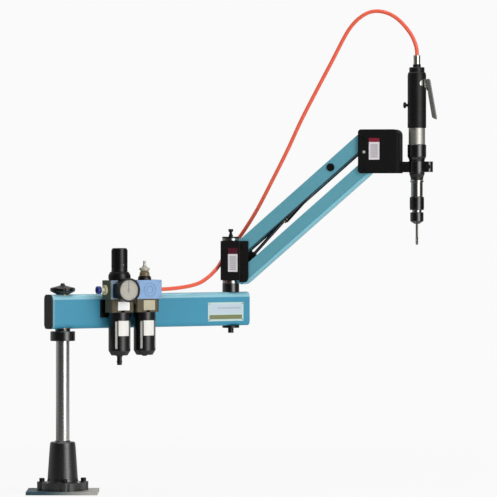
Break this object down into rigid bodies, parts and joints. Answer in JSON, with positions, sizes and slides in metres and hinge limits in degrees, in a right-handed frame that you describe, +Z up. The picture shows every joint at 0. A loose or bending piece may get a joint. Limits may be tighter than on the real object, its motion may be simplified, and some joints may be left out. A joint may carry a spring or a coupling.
{
  "type": "arm tapping machine",
  "caption": "Air tapping tool on a two-part swinging arm: a lower tube arm on a column with an air service unit, an elbow block and a parallelogram arm with a gas strut.",
  "frame": {"origin": "centre of the bench bolt pattern at the underside of the base plate, on the column's axis", "axes": "+Z up along the column; the base plate's long sides lie along X; the side seen in the picture faces -Y"},
  "size_m": [1.0312, 0.364, 1.217],
  "materials": {
    "plate_steel": "ground steel plate",
    "cast_black": "black stoved enamel on cast iron",
    "black_screw": "black oxide",
    "chrome": "hard chrome, ground",
    "black_metal": "satin black powder coat",
    "black_gloss": "moulded, polished",
    "black_gloss_metal": "gloss black enamel",
    "blue_paint": "blue powder coat",
    "bar_blue": "blue powder coat",
    "black_plastic": "moulded",
    "bush_bronze": "machined bronze",
    "bright_steel": "turned",
    "ring_chrome": "polished",
    "dark_steel": "blackened",
    "name_plate": "bare printed plate, no words",
    "unit_grey": "die cast, satin",
    "guard_black": "satin black",
    "bowl_clear": "clear polycarbonate",
    "dome_clear": "clear polycarbonate",
    "dial_cream": "printed dial",
    "nickel": "nickel plated",
    "collar_blue": "moulded",
    "hose_orange": "polyurethane hose",
    "needle_black": "matt",
    "handle_black": "satin grip"
  },
  "bodies": {
    "stand": {"base_plate": "plate_steel", "column_socket": "cast_black", "stand_screws": "black_screw", "column": "chrome", "column_collar": "black_metal", "thrust_ring": "black_metal"},
    "lock_knob": {"lock_knob": "black_gloss"},
    "lower_arm": {"arm_tube": "blue_paint", "end_caps": "black_plastic", "arm_bushes": "bush_bronze", "elbow_pin": "bright_steel", "elbow_spacer": "black_gloss_metal", "elbow_rings": "ring_chrome", "elbow_fasteners": "black_screw", "grease_nipple": "dark_steel", "name_plate": "name_plate", "unit_bracket": "black_metal", "regulator_body": "unit_grey", "unit_rings": "black_plastic", "bowl_guards": "guard_black", "air_bowls": "bowl_clear", "drain_valves": "black_plastic", "lubricator_body": "unit_grey", "sight_dome": "dome_clear", "gauge_case": "black_gloss", "gauge_dial": "dial_cream", "air_fittings": "nickel", "inlet_collar": "collar_blue", "hose_lower": "hose_orange"},
    "regulator_knob": {"regulator_knob": "black_plastic"},
    "oil_screw": {"oil_screw": "nickel"},
    "gauge_needle": {"gauge_needle": "needle_black"},
    "elbow_block": {"swivel_block": "black_metal", "block_pins": "dark_steel", "strut_pin": "bright_steel"},
    "upper_bar": {"upper_bar": "bar_blue", "strut_bolt": "black_screw", "hose_upper": "hose_orange"},
    "lower_bar": {"lower_bar": "bar_blue"},
    "strut_cylinder": {"gas_cylinder": "black_gloss_metal"},
    "strut_rod": {"gas_rod": "bright_steel"},
    "head": {"head_box": "black_metal", "head_pins": "dark_steel", "tool_clamp": "black_metal", "head_screws": "bright_steel", "tool_handle": "handle_black", "hose_fitting": "nickel", "exhaust_band": "ring_chrome", "gear_housing": "black_gloss_metal", "nosepiece": "black_gloss_metal", "lever_bracket": "ring_chrome"},
    "throttle_lever": {"throttle_lever": "ring_chrome"},
    "reverse_button": {"reverse_button": "black_plastic"},
    "spindle": {"chuck_shank": "ring_chrome", "tap_collet": "dark_steel", "tap": "bright_steel"},
    "chuck_sleeve": {"chuck_sleeve": "black_gloss_metal"}
  },
  "joints": [
    {"name": "column_swivel", "type": "hinge", "parent": "stand", "child": "lower_arm", "pos_m": [0, 0, 0.45], "axis": [0, 0, 1], "continuous": true},
    {"name": "lock_knob_turn", "type": "hinge", "parent": "stand", "child": "lock_knob", "pos_m": [0, 0, 0.5], "axis": [0, 0, 1], "range_deg": [-90, 90]},
    {"name": "elbow_swivel", "type": "hinge", "parent": "lower_arm", "child": "elbow_block", "pos_m": [0.41916, 0.242, 0.56], "axis": [0, 0, 1], "range_deg": [-90, 170], "deforming": ["hose_lower"]},
    {"name": "arm_lift", "type": "hinge", "parent": "elbow_block", "child": "upper_bar", "pos_m": [0.45375, 0.23401, 0.613], "axis": [-0.225, -0.9744, 0], "range_deg": [-50, 5], "deforming": ["hose_upper"]},
    {"name": "lower_bar_swing", "type": "hinge", "parent": "elbow_block", "child": "lower_bar", "pos_m": [0.45375, 0.23401, 0.535], "axis": [-0.225, -0.9744, 0], "range_deg": [-50.5, 5.5]},
    {"name": "head_level", "type": "hinge", "parent": "upper_bar", "child": "head", "pos_m": [0.7626, 0.16271, 0.88855], "axis": [-0.225, -0.9744, 0], "range_deg": [-5.5, 50.5]},
    {"name": "strut_swing", "type": "hinge", "parent": "upper_bar", "child": "strut_cylinder", "pos_m": [0.67749, 0.18236, 0.81526], "axis": [-0.225, -0.9744, 0], "range_deg": [-2.2, 2.2]},
    {"name": "strut_stroke", "type": "slide", "parent": "strut_cylinder", "child": "strut_rod", "axis": [-0.6602, 0.1524, -0.7354], "range_m": [-0.027, 0.004]},
    {"name": "regulator_turn", "type": "hinge", "parent": "lower_arm", "child": "regulator_knob", "pos_m": [0.14131, 0.01923, 0.58], "axis": [0, 0, 1], "range_deg": [-720, 720]},
    {"name": "oil_screw_turn", "type": "hinge", "parent": "lower_arm", "child": "oil_screw", "pos_m": [0.20324, 0.05498, 0.57], "axis": [0, 0, 1], "range_deg": [-540, 540]},
    {"name": "gauge_needle_swing", "type": "hinge", "parent": "lower_arm", "child": "gauge_needle", "pos_m": [0.16581, -0.0232, 0.508], "axis": [0.5, -0.866, 0], "range_deg": [-135, 135]},
    {"name": "throttle_press", "type": "hinge", "parent": "head", "child": "throttle_lever", "pos_m": [0.9185, 0.12672, 1.03405], "axis": [0.225, 0.9744, 0], "range_deg": [0, 8], "stiffness_Nm_per_rad": 0.6},
    {"name": "reverse_press", "type": "slide", "parent": "head", "child": "reverse_button", "axis": [0.9744, -0.225, 0], "range_m": [0, 0.004], "stiffness_N_per_m": 400},
    {"name": "spindle_spin", "type": "hinge", "parent": "head", "child": "spindle", "pos_m": [0.89102, 0.13306, 0.76], "axis": [0, 0, 1], "continuous": true},
    {"name": "chuck_sleeve_pull", "type": "slide", "parent": "spindle", "child": "chuck_sleeve", "axis": [0, 0, -1], "range_m": [0, 0.005], "stiffness_N_per_m": 800}
  ],
  "couplings": [
    {"joint": "lower_bar_swing", "follows": "arm_lift", "ratio": 1},
    {"joint": "head_level", "follows": "arm_lift", "ratio": -1},
    {"joint": "strut_swing", "follows": "arm_lift", "ratio": 0.038},
    {"joint": "strut_stroke", "follows": "arm_lift", "m_per_rad": 0.02865}
  ]
}
